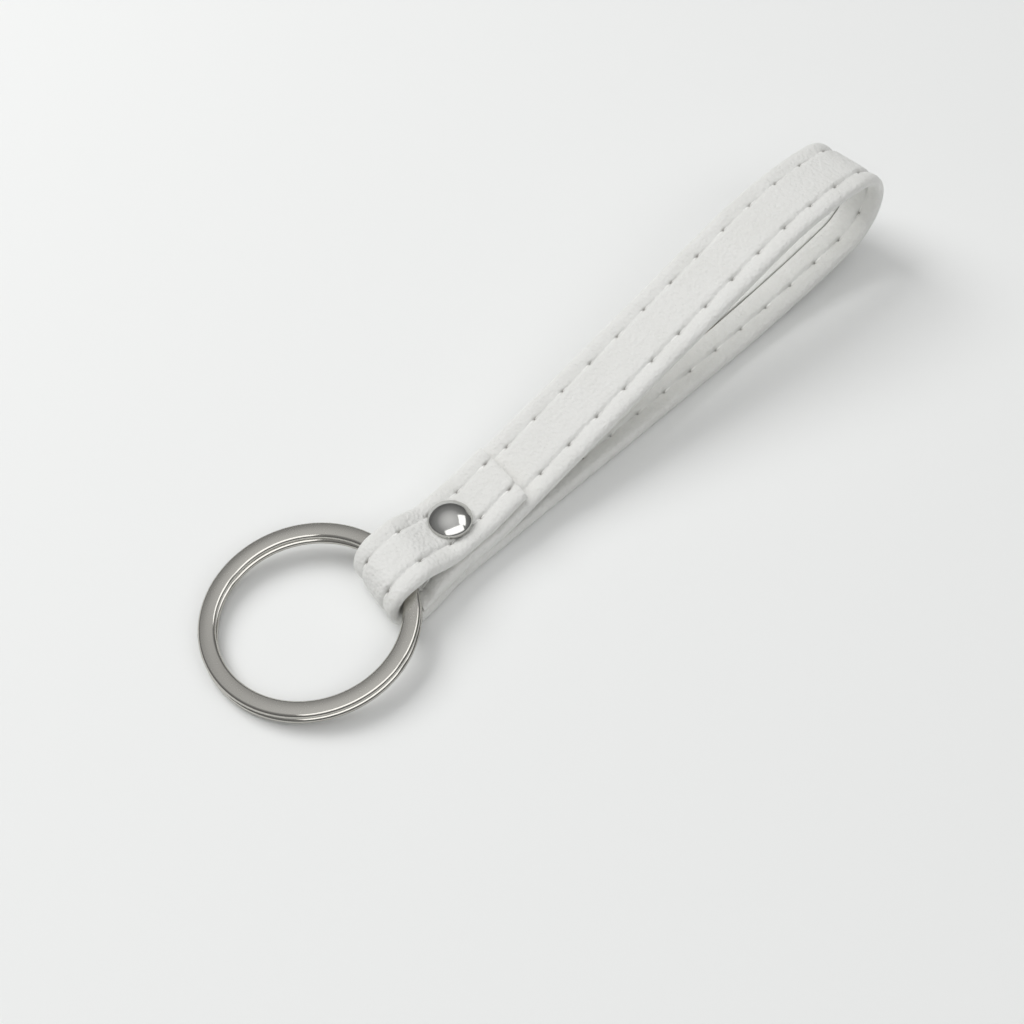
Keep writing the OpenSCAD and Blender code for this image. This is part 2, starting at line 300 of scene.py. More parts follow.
def drift_at(dist):
    """Sideways shift: the cut ends by the ring splay out, and the tab lies a little over."""
    if dist < FOLD_FROM / 2:
        return -END_SPLAY * (1 - ease(0, TURN_RUN + 1, dist))
    splayed = ease(FOLD_FROM - TURN_RUN, FOLD_FROM - 1, dist)
    splayed *= 1 - ease(FOLD_FROM, FOLD_FROM + SPLAY_RUN, dist)
    over = ease(FOLD_FROM, ROOF_TO, dist)
    back = ease(ROOF_TO + 6, PATH_LEN - 4, dist)
    return TAB_SHIFT * back - ROOF_SHIFT * over - FOLD_SPLAY * splayed


def strap_point(dist, across, depth):
    """Point on the strap in metres. depth is from the middle of its thickness to its front."""
    x, z, heading, _ = place_at(dist)
    a = math.radians(heading)
    if dist < PARED_TO:
        depth += (PARED - 1) * (depth + HALF_T) * (1 - ease(PARED_FLAT, PARED_TO, dist))
    return Vector((
        (x - depth * math.sin(a) + across * skew_at(dist) - MIDDLE_X) * MM,
        (across + drift_at(dist) - MIDDLE_Y) * MM,
        (z + depth * math.cos(a)) * MM,
    ))


# ---------------------------------------------------------------- mesh helpers


def new_object(name, mesh):
    """Links a mesh into the scene as an object at the origin."""
    obj = bpy.data.objects.new(name, mesh)
    bpy.context.scene.collection.objects.link(obj)
    return obj


def smooth(mesh, sharp_angle):
    """Smooth faces, with sharp edges above an angle in degrees."""
    mesh.polygons.foreach_set("use_smooth", [True] * len(mesh.polygons))
    mesh.set_sharp_from_angle(angle=math.radians(sharp_angle))


def sweep(name, dists, section, sharp_angle=55):
    """Closed skin through one section a distance. section(dist) gives (across, depth, painted
    shade).
    """
    bm = bmesh.new()
    painted_shade = bm.verts.layers.float.new("painted_shade")
    rings = []
    for dist in dists:
        ring = []
        for across, depth, deep in section(dist):
            vert = bm.verts.new(strap_point(dist, across, depth))
            # the third value of each point is painted shade, kept for the leather's colour
            vert[painted_shade] = deep
            ring.append(vert)
        rings.append(ring)
    size = len(rings[0])
    for low, high in zip(rings, rings[1:]):
        for i in range(size):
            j = (i + 1) % size
            bm.faces.new((low[i], high[i], high[j], low[j]))
    ends = [bm.faces.new(rings[0]), bm.faces.new(reversed(rings[-1]))]
    bmesh.ops.triangulate(bm, faces=ends, ngon_method="EAR_CLIP")
    bmesh.ops.recalc_face_normals(bm, faces=bm.faces)
    mesh = bpy.data.meshes.new(name)
    bm.to_mesh(mesh)
    bm.free()
    smooth(mesh, sharp_angle)
    return new_object(name, mesh)


def lathe(name, profile, centre, steps=96):
    """Closed turned shape. profile is (radius, height) from axis to axis, in millimetres."""
    bm = bmesh.new()
    rings = []
    for radius, height in profile:
        if radius == 0:
            rings.append([bm.verts.new(centre + Vector((0, 0, height * MM)))])
            continue
        rings.append([
            bm.verts.new(centre + MM * Vector((
                radius * math.cos(2 * math.pi * k / steps),
                radius * math.sin(2 * math.pi * k / steps),
                height,
            )))
            for k in range(steps)
        ])
    for low, high in zip(rings, rings[1:]):
        for k in range(steps):
            m = (k + 1) % steps
            if len(low) == 1:
                bm.faces.new((low[0], high[k], high[m]))
            elif len(high) == 1:
                bm.faces.new((low[k], high[0], low[m]))
            else:
                bm.faces.new((low[k], high[k], high[m], low[m]))
    bmesh.ops.recalc_face_normals(bm, faces=bm.faces)
    mesh = bpy.data.meshes.new(name)
    bm.to_mesh(mesh)
    bm.free()
    smooth(mesh, 40)
    return new_object(name, mesh)


# ---------------------------------------------------------------- node helpers


def add_node(tree, kind, inputs=(), **settings):
    """Adds a node with its settings. inputs are pairs of socket and value or linked output."""
    made = tree.nodes.new(kind)
    for name, value in settings.items():
        setattr(made, name, value)
    for socket, value in inputs:
        if isinstance(value, bpy.types.NodeSocket):
            tree.links.new(value, made.inputs[socket])
        else:
            made.inputs[socket].default_value = value
    return made


def new_material(name, base, metallic=0.0, roughness=0.5, **uniform):
    """A material and its shader, with every uniform value on the shader's own socket."""
    material = bpy.data.materials.new(name)
    material.use_nodes = True
    shader = material.node_tree.nodes["Principled BSDF"]
    shader.inputs["Base Color"].default_value = (*base, 1)
    shader.inputs["Metallic"].default_value = metallic
    shader.inputs["Roughness"].default_value = roughness
    for name, value in uniform.items():
        shader.inputs[name.replace("_", " ").title().replace("Ior", "IOR")].default_value = value
    return material, material.node_tree, shader


def object_place(tree):
    """Output with the place on the piece, in metres."""
    return add_node(tree, "ShaderNodeTexCoord").outputs["Object"]


def dress(obj, material):
    """Gives an object its only material."""
    obj.data.materials.clear()
    obj.data.materials.append(material)


# ---------------------------------------------------------------- materials


def coated_leather(strap):
    """Split leather with a white coat, embossed with a fine pebble and left semi-matte.

    The eye sees an even white with a soft sheen, a grain finer than a millimetre, and
    small dimples at the needle holes, which are darkened with painted shade, as are the
    line beside each thread and the inside of the slit. The pebble of 0.55 mm and the pores
    of 0.3 mm are drawn as coarse as they need to be to show, over soft creases of 3.5 mm.
    """
    material, tree, shader = new_material(
        "coated_leather_white", strap.leather, roughness=0.46,
        coat_weight=0.12, coat_roughness=0.35,
    )
    place = object_place(tree)
    mottle = add_node(tree, "ShaderNodeTexNoise", [
        ("Vector", place), ("Scale", 1 / (9 * MM)), ("Detail", 3.0),
    ])
    tint = add_node(tree, "ShaderNodeMix", [
        ("Factor", add_node(tree, "ShaderNodeMapRange", [
            ("Value", mottle.outputs["Fac"]), ("From Min", 0.45), ("From Max", 0.75),
            ("To Max", 0.35),
        ]).outputs[0]),
        (6, (*strap.leather, 1)), (7, (*strap.leather_shade, 1)),
    ], data_type="RGBA")
    # painted shade: the point's attribute mixes the leather towards the hole shade at needle
    # holes, beside each thread and inside the slit
    painted_shade = add_node(tree, "ShaderNodeAttribute", attribute_name="painted_shade")
    painted_shade_mix = add_node(tree, "ShaderNodeMix", [
        ("Factor", painted_shade.outputs["Fac"]),
        (6, tint.outputs[2]), (7, (*strap.painted_hole_shade, 1)),
    ], data_type="RGBA")
    tree.links.new(painted_shade_mix.outputs[2], shader.inputs["Base Color"])
    pebble = add_node(tree, "ShaderNodeTexVoronoi", [
        ("Vector", place), ("Scale", 1 / (0.55 * MM)),
    ], feature="SMOOTH_F1")
    fine = add_node(tree, "ShaderNodeTexNoise", [
        ("Vector", place), ("Scale", 1 / (0.3 * MM)), ("Detail", 2.0),
    ])
    crumple = add_node(tree, "ShaderNodeTexNoise", [
        ("Vector", place), ("Scale", 1 / (3.5 * MM)), ("Detail", 4.0),
    ])
    first = add_node(tree, "ShaderNodeBump", [
        ("Height", crumple.outputs["Fac"]), ("Strength", 0.6), ("Distance", 0.17 * MM),
    ])
    second = add_node(tree, "ShaderNodeBump", [
        ("Height", pebble.outputs["Distance"]), ("Strength", 0.7), ("Distance", 0.2 * MM),
        ("Normal", first.outputs["Normal"]),
    ])
    third = add_node(tree, "ShaderNodeBump", [
        ("Height", fine.outputs["Fac"]), ("Strength", 0.6), ("Distance", 0.1 * MM),
        ("Normal", second.outputs["Normal"]),
    ])
    tree.links.new(third.outputs["Normal"], shader.inputs["Normal"])
    return material


def bonded_filler(strap):
    """Bonded leather board, pressed from tan fibres of 0.25 mm: dull, and streaked along."""
    material, tree, shader = new_material("bonded_board_tan", strap.filler, roughness=0.9)
    place = object_place(tree)
    stretched = add_node(tree, "ShaderNodeMapping", [("Vector", place), ("Scale", (0.25, 1, 1))])
    fibre = add_node(tree, "ShaderNodeTexNoise", [
        ("Vector", stretched.outputs[0]), ("Scale", 1 / (0.25 * MM)), ("Detail", 3.0),
    ])
    tint = add_node(tree, "ShaderNodeMix", [
        ("Factor", fibre.outputs["Fac"]),
        (6, (*strap.filler, 1)), (7, (*strap.fibre, 1)),
    ], data_type="RGBA")
    tree.links.new(tint.outputs[2], shader.inputs["Base Color"])
    bump = add_node(tree, "ShaderNodeBump", [
        ("Height", fibre.outputs["Fac"]), ("Strength", 0.6), ("Distance", 0.08 * MM),
    ])
    tree.links.new(bump.outputs["Normal"], shader.inputs["Normal"])
    return material


def sewing_thread(thread):
    """Polyester thread, three plies twisted to a lay of 1.8 mm: white and a little glossy."""
    material, tree, shader = new_material(
        "polyester_thread_white", thread.colour, roughness=0.55,
        sheen_weight=0.25, sheen_roughness=0.4,
    )
    along = add_node(tree, "ShaderNodeAttribute", attribute_name="lay_along").outputs["Fac"]
    around = add_node(tree, "ShaderNodeAttribute", attribute_name="lay_around").outputs["Fac"]
    turns = add_node(tree, "ShaderNodeMath", [
        (0, along), (1, 1 / (1.8 * MM)), (2, around),
    ], operation="MULTIPLY_ADD")
    angle = add_node(tree, "ShaderNodeMath", [
        (0, turns.outputs[0]), (1, 3 * 2 * math.pi),
    ], operation="MULTIPLY")
    ply = add_node(tree, "ShaderNodeMath", [(0, angle.outputs[0])], operation="SINE")
    bump = add_node(tree, "ShaderNodeBump", [
        ("Height", ply.outputs[0]), ("Strength", 0.7), ("Distance", 0.03 * MM),
    ])
    tree.links.new(bump.outputs["Normal"], shader.inputs["Normal"])
    return material


def polished_nickel(metal):
    """Nickel plate on pressed brass, tumbled: a bright mirror, a little duller in patches."""
    material, tree, shader = new_material(
        "nickel_plate_polished", metal.nickel, metallic=1.0, roughness=0.12,
    )
    place = object_place(tree)
    wear = add_node(tree, "ShaderNodeTexNoise", [
        ("Vector", place), ("Scale", 1 / (1.2 * MM)), ("Detail", 4.0),
    ])
    rough = add_node(tree, "ShaderNodeMapRange", [
        ("Value", wear.outputs["Fac"]), ("To Min", 0.07), ("To Max", 0.2),
    ])
    tree.links.new(rough.outputs[0], shader.inputs["Roughness"])
    return material


def ring_steel(metal):
    """Nickel plated steel wire, rolled flat: satin faces, and bevels that wear bright.

    The attribute flat_face is 1 where the surface faces along the ring's own axis.
    """
    material, tree, shader = new_material(
        "nickel_plate_satin", metal.steel, metallic=1.0, roughness=0.25,
    )
    face = add_node(tree, "ShaderNodeAttribute", attribute_name="flat_face").outputs["Fac"]
    place = object_place(tree)
    grain = add_node(tree, "ShaderNodeTexNoise", [
        ("Vector", place), ("Scale", 1 / (0.5 * MM)), ("Detail", 5.0), ("Roughness", 0.7),
    ])
    satin = add_node(tree, "ShaderNodeMapRange", [
        ("Value", grain.outputs["Fac"]), ("To Min", 0.2), ("To Max", 0.32),
    ])
    rough = add_node(tree, "ShaderNodeMix", [
        ("Factor", face), (2, 0.1), (3, satin.outputs[0]),
    ], data_type="FLOAT")
    tree.links.new(rough.outputs[0], shader.inputs["Roughness"])
    bump = add_node(tree, "ShaderNodeBump", [
        ("Height", grain.outputs["Fac"]), ("Strength", 0.12), ("Distance", 0.02 * MM),
    ])
    tree.links.new(bump.outputs["Normal"], shader.inputs["Normal"])
    return material


def floor_paper(stage):
    """Matte white paper board: no gloss, an even pale tone that keeps soft shadows."""
    return new_material(
        "floor_paper_white", stage.floor, roughness=0.9, specular_ior_level=0.1,
    )[0]


# ---------------------------------------------------------------- geometry node trees


def new_tree(name, inputs):
    """A geometry tree with its named inputs, given as (name, socket type, default)."""
    tree = bpy.data.node_groups.new(name, "GeometryNodeTree")
    tree.interface.new_socket("Geometry", in_out="INPUT", socket_type="NodeSocketGeometry")
    tree.interface.new_socket("Geometry", in_out="OUTPUT", socket_type="NodeSocketGeometry")
    for label, kind, default in inputs:
        socket = tree.interface.new_socket(label, in_out="INPUT", socket_type=kind)
        if default is not None:
            socket.default_value = default
    return tree, add_node(tree, "NodeGroupInput")


def finish_tree(tree, start, mesh):
    """Ends a tree in real, smooth faces of the given material."""
    soft = add_node(tree, "GeometryNodeSetShadeSmooth", [("Geometry", mesh)])
    real = add_node(tree, "GeometryNodeRealizeInstances", [("Geometry", soft.outputs[0])])
    painted = add_node(tree, "GeometryNodeSetMaterial", [
        ("Geometry", real.outputs[0]), ("Material", start.outputs["Material"]),
    ])
    add_node(tree, "NodeGroupOutput", [("Geometry", painted.outputs[0])])


def grow(name, source, tree, values):
    """Runs a tree on a source mesh and returns a plain mesh object under the given name."""
    obj = new_object(name + "_source", source)
    modifier = obj.modifiers.new(tree.name, "NODES")
    modifier.node_group = tree
    for item in tree.interface.items_tree:
        if item.in_out == "INPUT" and item.name in values:
            modifier[item.identifier] = values[item.name]
    bpy.context.view_layer.update()
    seen = obj.evaluated_get(bpy.context.evaluated_depsgraph_get())
    mesh = bpy.data.meshes.new_from_object(seen)
    mesh.name = name
    bpy.data.objects.remove(obj)
    if not mesh.polygons:
        raise RuntimeError(name + " came out of its geometry nodes with no faces")
    return new_object(name, mesh)


def stitch_tree():
    """Turns polylines, one a stitch, into threads that dive into the leather at both ends."""
    tree, start = new_tree("Stitches", [
        ("Thread Radius", "NodeSocketFloat", 0.0002),
        ("Sink", "NodeSocketFloat", 0.0004),
        ("Thin", "NodeSocketFloat", 0.3),
        ("Sides", "NodeSocketInt", 8),
        ("Material", "NodeSocketMaterial", None),
    ])
    curve = add_node(tree, "GeometryNodeMeshToCurve", [("Mesh", start.outputs["Geometry"])])
    share = add_node(tree, "GeometryNodeSplineParameter").outputs["Factor"]
    centred = add_node(tree, "ShaderNodeMath", [
        (0, share), (1, 2.0), (2, -1.0),
    ], operation="MULTIPLY_ADD")
    reach = add_node(tree, "ShaderNodeMath", [(0, centred.outputs[0])], operation="ABSOLUTE")
    ends = add_node(tree, "ShaderNodeMath", [(0, reach.outputs[0]), (1, 9.0)], operation="POWER")
    down = add_node(tree, "GeometryNodeInputNamedAttribute", [("Name", "inward")],
                    data_type="FLOAT_VECTOR")
    depth = add_node(tree, "ShaderNodeMath", [
        (0, ends.outputs[0]), (1, start.outputs["Sink"]),
    ], operation="MULTIPLY")
    offset = add_node(tree, "ShaderNodeVectorMath", [
        (0, down.outputs["Attribute"]), ("Scale", depth.outputs[0]),
    ], operation="SCALE")
    sunk = add_node(tree, "GeometryNodeSetPosition", [
        ("Geometry", curve.outputs[0]), ("Offset", offset.outputs[0]),
    ])
    along = add_node(tree, "GeometryNodeStoreNamedAttribute", [
        ("Geometry", sunk.outputs[0]), ("Name", "lay_along"),
        ("Value", add_node(tree, "GeometryNodeSplineParameter").outputs["Length"]),
    ], data_type="FLOAT", domain="POINT")
    thinner = add_node(tree, "ShaderNodeMath", [
        (0, ends.outputs[0]), (1, start.outputs["Thin"]),
    ], operation="MULTIPLY")
    width = add_node(tree, "ShaderNodeMath", [
        (0, 1.0), (1, thinner.outputs[0]),
    ], operation="SUBTRACT")
    sized = add_node(tree, "GeometryNodeSetCurveRadius", [
        ("Curve", along.outputs[0]), ("Radius", width.outputs[0]),
    ])
    circle = add_node(tree, "GeometryNodeCurvePrimitiveCircle", [
        ("Resolution", start.outputs["Sides"]), ("Radius", start.outputs["Thread Radius"]),
    ])
    around = add_node(tree, "GeometryNodeStoreNamedAttribute", [
        ("Geometry", circle.outputs[0]), ("Name", "lay_around"),
        ("Value", add_node(tree, "GeometryNodeSplineParameter").outputs["Factor"]),
    ], data_type="FLOAT", domain="POINT")
    tube = add_node(tree, "GeometryNodeCurveToMesh", [
        ("Curve", sized.outputs[0]), ("Profile Curve", around.outputs[0]), ("Fill Caps", True),
    ])
    finish_tree(tree, start, tube.outputs[0])
    return tree


def wound_wire_tree():
    """Winds one wire of the given section twice round, climbing from the lower turn."""
    tree, start = new_tree("Wound flat wire", [
        ("Radius", "NodeSocketFloat", 0.0147),
        ("Coil Pitch", "NodeSocketFloat", 0.00135),
        ("Half Climb", "NodeSocketFloat", math.radians(15)),
        ("Steps", "NodeSocketInt", 500),
        ("Material", "NodeSocketMaterial", None),
    ])
    line = add_node(tree, "GeometryNodeCurvePrimitiveLine")
    fine = add_node(tree, "GeometryNodeResampleCurve", [
        ("Curve", line.outputs[0]), ("Count", start.outputs["Steps"]),
    ])
    share = add_node(tree, "GeometryNodeSplineParameter").outputs["Factor"]
    last = add_node(tree, "ShaderNodeMath", [
        (0, 4 * math.pi), (1, start.outputs["Half Climb"]),
    ], operation="SUBTRACT")
    angle = add_node(tree, "ShaderNodeMapRange", [
        ("Value", share), ("To Min", start.outputs["Half Climb"]), ("To Max", last.outputs[0]),
    ]).outputs[0]
    climb_from = add_node(tree, "ShaderNodeMath", [
        (0, 2 * math.pi), (1, start.outputs["Half Climb"]),
    ], operation="SUBTRACT")
    climb_to = add_node(tree, "ShaderNodeMath", [
        (0, 2 * math.pi), (1, start.outputs["Half Climb"]),
    ], operation="ADD")
    half_pitch = add_node(tree, "ShaderNodeMath", [
        (0, start.outputs["Coil Pitch"]), (1, 0.5),
    ], operation="MULTIPLY")
    low = add_node(tree, "ShaderNodeMath", [
        (0, half_pitch.outputs[0]), (1, -1.0),
    ], operation="MULTIPLY")
    height = add_node(tree, "ShaderNodeMapRange", [
        ("Value", angle), ("From Min", climb_from.outputs[0]), ("From Max", climb_to.outputs[0]),
        ("To Min", low.outputs[0]), ("To Max", half_pitch.outputs[0]),
    ], interpolation_type="SMOOTHSTEP")
    cos = add_node(tree, "ShaderNodeMath", [(0, angle)], operation="COSINE")
    sin = add_node(tree, "ShaderNodeMath", [(0, angle)], operation="SINE")
    x = add_node(tree, "ShaderNodeMath", [
        (0, cos.outputs[0]), (1, start.outputs["Radius"]),
    ], operation="MULTIPLY")
    y = add_node(tree, "ShaderNodeMath", [
        (0, sin.outputs[0]), (1, start.outputs["Radius"]),
    ], operation="MULTIPLY")
    place = add_node(tree, "ShaderNodeCombineXYZ", [
        (0, x.outputs[0]), (1, y.outputs[0]), (2, height.outputs[0]),
    ])
    wound = add_node(tree, "GeometryNodeSetPosition", [
        ("Geometry", fine.outputs[0]), ("Position", place.outputs[0]),
    ])
    upright = add_node(tree, "GeometryNodeSetCurveNormal", [("Curve", wound.outputs[0])],
                       mode="Z_UP")
    section = add_node(tree, "GeometryNodeMeshToCurve", [("Mesh", start.outputs["Geometry"])])
    wire = add_node(tree, "GeometryNodeCurveToMesh", [
        ("Curve", upright.outputs[0]), ("Profile Curve", section.outputs[0]),
        ("Fill Caps", True),
    ])
    finish_tree(tree, start, wire.outputs[0])
    return tree


# ---------------------------------------------------------------- strap shapes

# Falloffs across and along a stitch row, and the places of its points, in millimetres
ROW_IN = 0.42        # the leather rises this fast towards the middle of the strap
ROW_OUT = 1.9        # and this slowly towards its edge
PULL_RUN = 1.8       # a stitch pulls deepest over this run after its hole
PULL_LEAST = 0.74    # share of the valley's depth that the rest of the stitch keeps
GROOVE = 0.1         # depth, width and run of the groove that the thread lies in
GROOVE_WIDE = 0.2
GROOVE_RUN = 2.4
HOLE_WIDE = 0.22     # half width and half length of a needle hole, and its shift along
HOLE_LONG = 0.5
HOLE_SHIFT = 0.2
THREAD_LINE_PAINTED_SHADE = 0.45    # painted shade, width and run of the shadow line beside the thread
LINE_WIDE = 0.17
LINE_RUN = 2.2
HOLE_STEPS = (-0.75, -0.45, -0.22, 0, 0.22, 0.45, 0.75)
ROW_STEPS = (
    -0.75, -0.55, -0.42, -0.32, -0.22, -0.12, -0.03, 0.06, 0.15, 0.25, 0.4, 0.65, 1, 1.4,
)
INNER_SHARES = (0, 0.25, 0.5, 0.75, 0.9)
ROW_BAND = 0.8       # the finer steps start this far inside a row

# Cut ends, shoulders and steps of the cover, in millimetres
END_STEPS = (0.15, 0.4, 0.8)
SHOULDER_HALF = 0.35
SHOULDER_STEPS = (-0.35, -0.22, -0.11, 0, 0.11, 0.22, 0.35)
LONGEST_STEP = 1.2
SHORTEST_STEP = 0.1
TURN_SHARE = 0.12    # a step's share of the radius it goes round
FLARE = 0.2          # lift of the tab's cut end, and the run over which it fades
FLARE_RUN = 0.45

# Slit on the back: where it is widest, how far it stays open, its rolled lip as (out, up, painted
# shade), and the painted shade of the cover's inside faces
OPEN_AT = HEEL_FROM + 10
OPEN_RUN = 16
LIP = 0.3
LIP_CURVE = ((0, 0.16, 0.25), (0.1, 0.04, 0.1))
CORE_PAINTED_SHADE = 0.6

# Rolled edge: its reach round, and how far it lies inside the two faces
RIM_TURN = 78
RIM_STEPS = 8
RIM_INSET = 0.05

# Height and length of the leather's waves on its faces and along its edges
FACE_WAVE = 0.04
FACE_WAVE_RUN = 5
EDGE_WAVE = 0.05
EDGE_WAVE_RUN = 9

# Filler: its play in the cover and its rounding
FILLER_PLAY = 0.06
FILLER_ROUND = 0.12

# Thread: how far its middle lies under the valley, how much less at a stitch's end, its points
THREAD_DEPTH = 0.27
THREAD_RISE = 0.24
THREAD_SHARES = (0, 0.03, 0.07, 0.13, 0.22, 0.33, 0.44, 0.56, 0.67, 0.78, 0.87, 0.93, 0.97, 1)


def stitch_holes(thread):
    """Distances of the needle holes along the strap, in millimetres."""
    run = PATH_LEN - 2 * FIRST_HOLE
    count = round(run * MM / thread.pitch)
    return [FIRST_HOLE + run * i / count for i in range(count + 1)]


def half_width(strap, narrow):
    """Half the strap's width in millimetres. narrow is 0 on the strap and 1 on the tongue."""
    return (strap.width + (strap.tongue - strap.width) * narrow) / MM / 2


def half_width_at(strap, dist):
    """Half width at a distance: the strap narrows to the tongue at its shoulders."""
    return half_width(strap, ease(SHOULDER - SHOULDER_HALF, SHOULDER + SHOULDER_HALF, dist))


def row_at(strap, thread, dist):
    """Distance of a stitch row from the middle. It steps inwards just before the shoulders."""
    return half_width(strap, ease(SHOULDER - 5, SHOULDER - 1, dist)) - thread.inset / MM


def cover_dists(holes):
    """Distances of the cover's sections: close together at holes, in turns and at the ends."""
    marks = [place[3] for place in PLACES]
    marks += [hole + step for hole in holes for step in HOLE_STEPS]
    for stretch, place in zip(STRETCHES, PLACES):
        radius = abs(stretch[0] / math.radians(stretch[1])) if stretch[1] else CROWN_R
        count = math.ceil(stretch[0] / min(LONGEST_STEP, TURN_SHARE * radius))
        marks += [place[3] + stretch[0] * k / count for k in range(count)]
    for step in END_STEPS:
        marks += [step, PATH_LEN - step]
    marks += [SHOULDER + step for step in SHOULDER_STEPS]
    kept = [0.0]
    for mark in sorted(marks):
        if 0 <= mark <= PATH_LEN and mark - kept[-1] > SHORTEST_STEP:
            kept.append(mark)
    if PATH_LEN - kept[-1] < SHORTEST_STEP:
        kept.pop()
    return kept + [PATH_LEN]


def bell(value, width):
    """Bell curve: 1 at 0, and a little over a third at the width."""
    return math.exp(-(value / width) ** 2)


def wave(dist, across, seed, run, size):
    """Slow wave in the leather, the same on each run."""
    return size * noise.noise(Vector((dist / run, across / 4, seed)))


def cover_section(strap, thread, holes):
    """Gives the function of distance that returns the cover's section."""
    half_t = strap.thickness / MM / 2
    edge = strap.edge / MM
    wall = strap.cover / MM
    valley = strap.valley / MM
    pit = strap.pit / MM
    closed = strap.slit / MM / 2
    opened = strap.slit_open / MM / 2

    def section(dist):
        half = half_width_at(strap, dist)
        row = row_at(strap, thread, dist)
        core_x, core_z = half - wall, half_t - wall
        slit = closed + (opened - closed) * bell(dist - OPEN_AT, OPEN_RUN)
        flare = FLARE * math.exp(-(PATH_LEN - dist) / FLARE_RUN)
        past = [dist - hole for hole in holes]
        near = min(abs(p - HOLE_SHIFT) for p in past)
        tail = min(p if p > 0 else -3 * p for p in past)
        pull = valley * (PULL_LEAST + (1 - PULL_LEAST) * bell(tail, PULL_RUN))
        points = []

        def face(across, side):
            off = abs(across) - row
            pulled = pull * (bell(off, ROW_IN) if off < 0 else max(0, 1 - off / ROW_OUT) ** 2)
            groove = GROOVE * bell(off, GROOVE_WIDE) * bell(tail, GROOVE_RUN)
            hole = bell(off, HOLE_WIDE) * bell(near, HOLE_LONG)
            # painted shadow along the thread, fading over the run after each hole
            line = THREAD_LINE_PAINTED_SHADE * bell(off, LINE_WIDE) * bell(tail, LINE_RUN)
            depth = half_t - pulled - groove - pit * hole
            depth += wave(dist, across, side * 7.3, FACE_WAVE_RUN, FACE_WAVE)
            if side > 0:
                depth += flare
            # the third value is painted shade at the needle holes and along the thread's line
            points.append((across, side * depth, max(hole, line)))

        def rim(side):
            bulge = half - edge + wave(dist, 0, side * 3.1, EDGE_WAVE_RUN, EDGE_WAVE)
            for k in range(RIM_STEPS + 1):
                a = math.radians(-RIM_TURN + 2 * RIM_TURN * k / RIM_STEPS)
                points.append((
                    side * (bulge + edge * math.cos(a)),
                    side * (half_t - RIM_INSET) * math.sin(a),
                    0.0,
                ))

        band = [row + step for step in ROW_STEPS]
        front = [(row - ROW_BAND) * share for share in INNER_SHARES] + band
        lip = slit + LIP
        back = [lip + (row - ROW_BAND - lip) * share for share in INNER_SHARES] + band
        rolled = [(slit + out, -half_t + up, shade) for out, up, shade in LIP_CURVE]
        points += rolled
        for across in back:
            face(across, -1)
        rim(1)
        for across in reversed(front):
            face(across, 1)
        for across in front[1:]:
            face(-across, 1)
        rim(-1)
        for across in reversed(back):
            face(-across, -1)
        points += [(-x, z, shade) for x, z, shade in reversed(rolled)]
        # the cover's inside faces, seen through the slit, carry painted shade
        core = [(slit, -core_z), (core_x, -core_z), (core_x, core_z)]
        points += [(-x, z, CORE_PAINTED_SHADE) for x, z in core]
        points += [(x, z, CORE_PAINTED_SHADE) for x, z in reversed(core)]
        return points

    return section


def filler_section(strap):
    """Gives the function of distance that returns the filler's section."""
    half_t = (strap.thickness / MM - 2 * strap.cover / MM - FILLER_PLAY) / 2
    r = FILLER_ROUND

    def section(dist):
        half = half_width_at(strap, dist) - strap.cover / MM - FILLER_PLAY / 2
        corners = []
        for x, z, first in ((1, -1, -90), (1, 1, 0), (-1, 1, 90), (-1, -1, 180)):
            for k in range(4):
                a = math.radians(first + 30 * k)
                across = x * (half - r) + r * math.cos(a)
                corners.append((across, z * (half_t - r) + r * math.sin(a), 0.0))
        return corners

    return section


def stitch_lines(name, holes, row, depth, face):
    """Polylines of one stitch row, with the way into the leather at every point."""
    points, edges, inward = [], [], []
    for low, high in zip(holes, holes[1:]):
        for k, share in enumerate(THREAD_SHARES):
            dist = low + (high - low) * share
            level = depth + THREAD_RISE * share * share
            here = strap_point(dist, row(dist), face * level)
            deeper = strap_point(dist, row(dist), face * (level - 1))
            if k:
                edges.append((len(points) - 1, len(points)))
            points.append(here)
            inward.append((deeper - here).normalized())
    mesh = bpy.data.meshes.new(name)
    mesh.from_pydata(points, edges, [])
    attribute = mesh.attributes.new("inward", "FLOAT_VECTOR", "POINT")
    attribute.data.foreach_set("vector", [value for vector in inward for value in vector])
    return mesh


# Corner of the wire, as shares of its bevel, and the place just inside that keeps the face flat
BEVEL_SHARES = ((0, 1), (0.12, 0.72), (0.72, 0.12), (1, 0))
BESIDE_BEVEL = 0.05 * MM

# Ring: half the angle of its crossover, its steps, and how upright a normal counts as face
HALF_CLIMB = math.radians(15)
RING_STEPS = 520
FACE_FROM, FACE_FULL = 0.8, 0.98


def wire_section(metal):
    """Outline of the ring's wire: slightly crowned faces and bevels with soft corners."""
    across, up, edge = metal.wire / 2, metal.coil / 2, metal.edge
    rim = up - metal.crown
    flat = across - edge
    quarter = [(across - edge * x, rim - edge * y) for x, y in BEVEL_SHARES]
    quarter += [
        (flat - BESIDE_BEVEL, rim + 0.1 * metal.crown), (0.5 * flat, up - 0.25 * metal.crown),
    ]
    half = quarter + [(0, up)] + [(-x, y) for x, y in reversed(quarter)]
    outline = half + [(-x, -y) for x, y in half]
    mesh = bpy.data.meshes.new("wire_section")
    count = len(outline)
    mesh.from_pydata(
        [(x, y, 0) for x, y in outline], [(k, (k + 1) % count) for k in range(count)], []
    )
    return mesh


# ---------------------------------------------------------------- operators


class KEYHOLDER_OT_leather(bpy.types.Operator):
    """Make the leather cover, with its rolled edges, stitch valleys and back slit"""

    bl_idname = "keyholder.leather"
    bl_label = "Leather Cover"

    def execute(self, context):
        settings = context.scene.key_holder
        holes = stitch_holes(settings.thread)
        cover = sweep(
            "leather_cover", cover_dists(holes),
            cover_section(settings.strap, settings.thread, holes),
        )
        dress(cover, coated_leather(settings.strap))
        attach(cover, "strap")
        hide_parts("strap_cover")
        return {"FINISHED"}


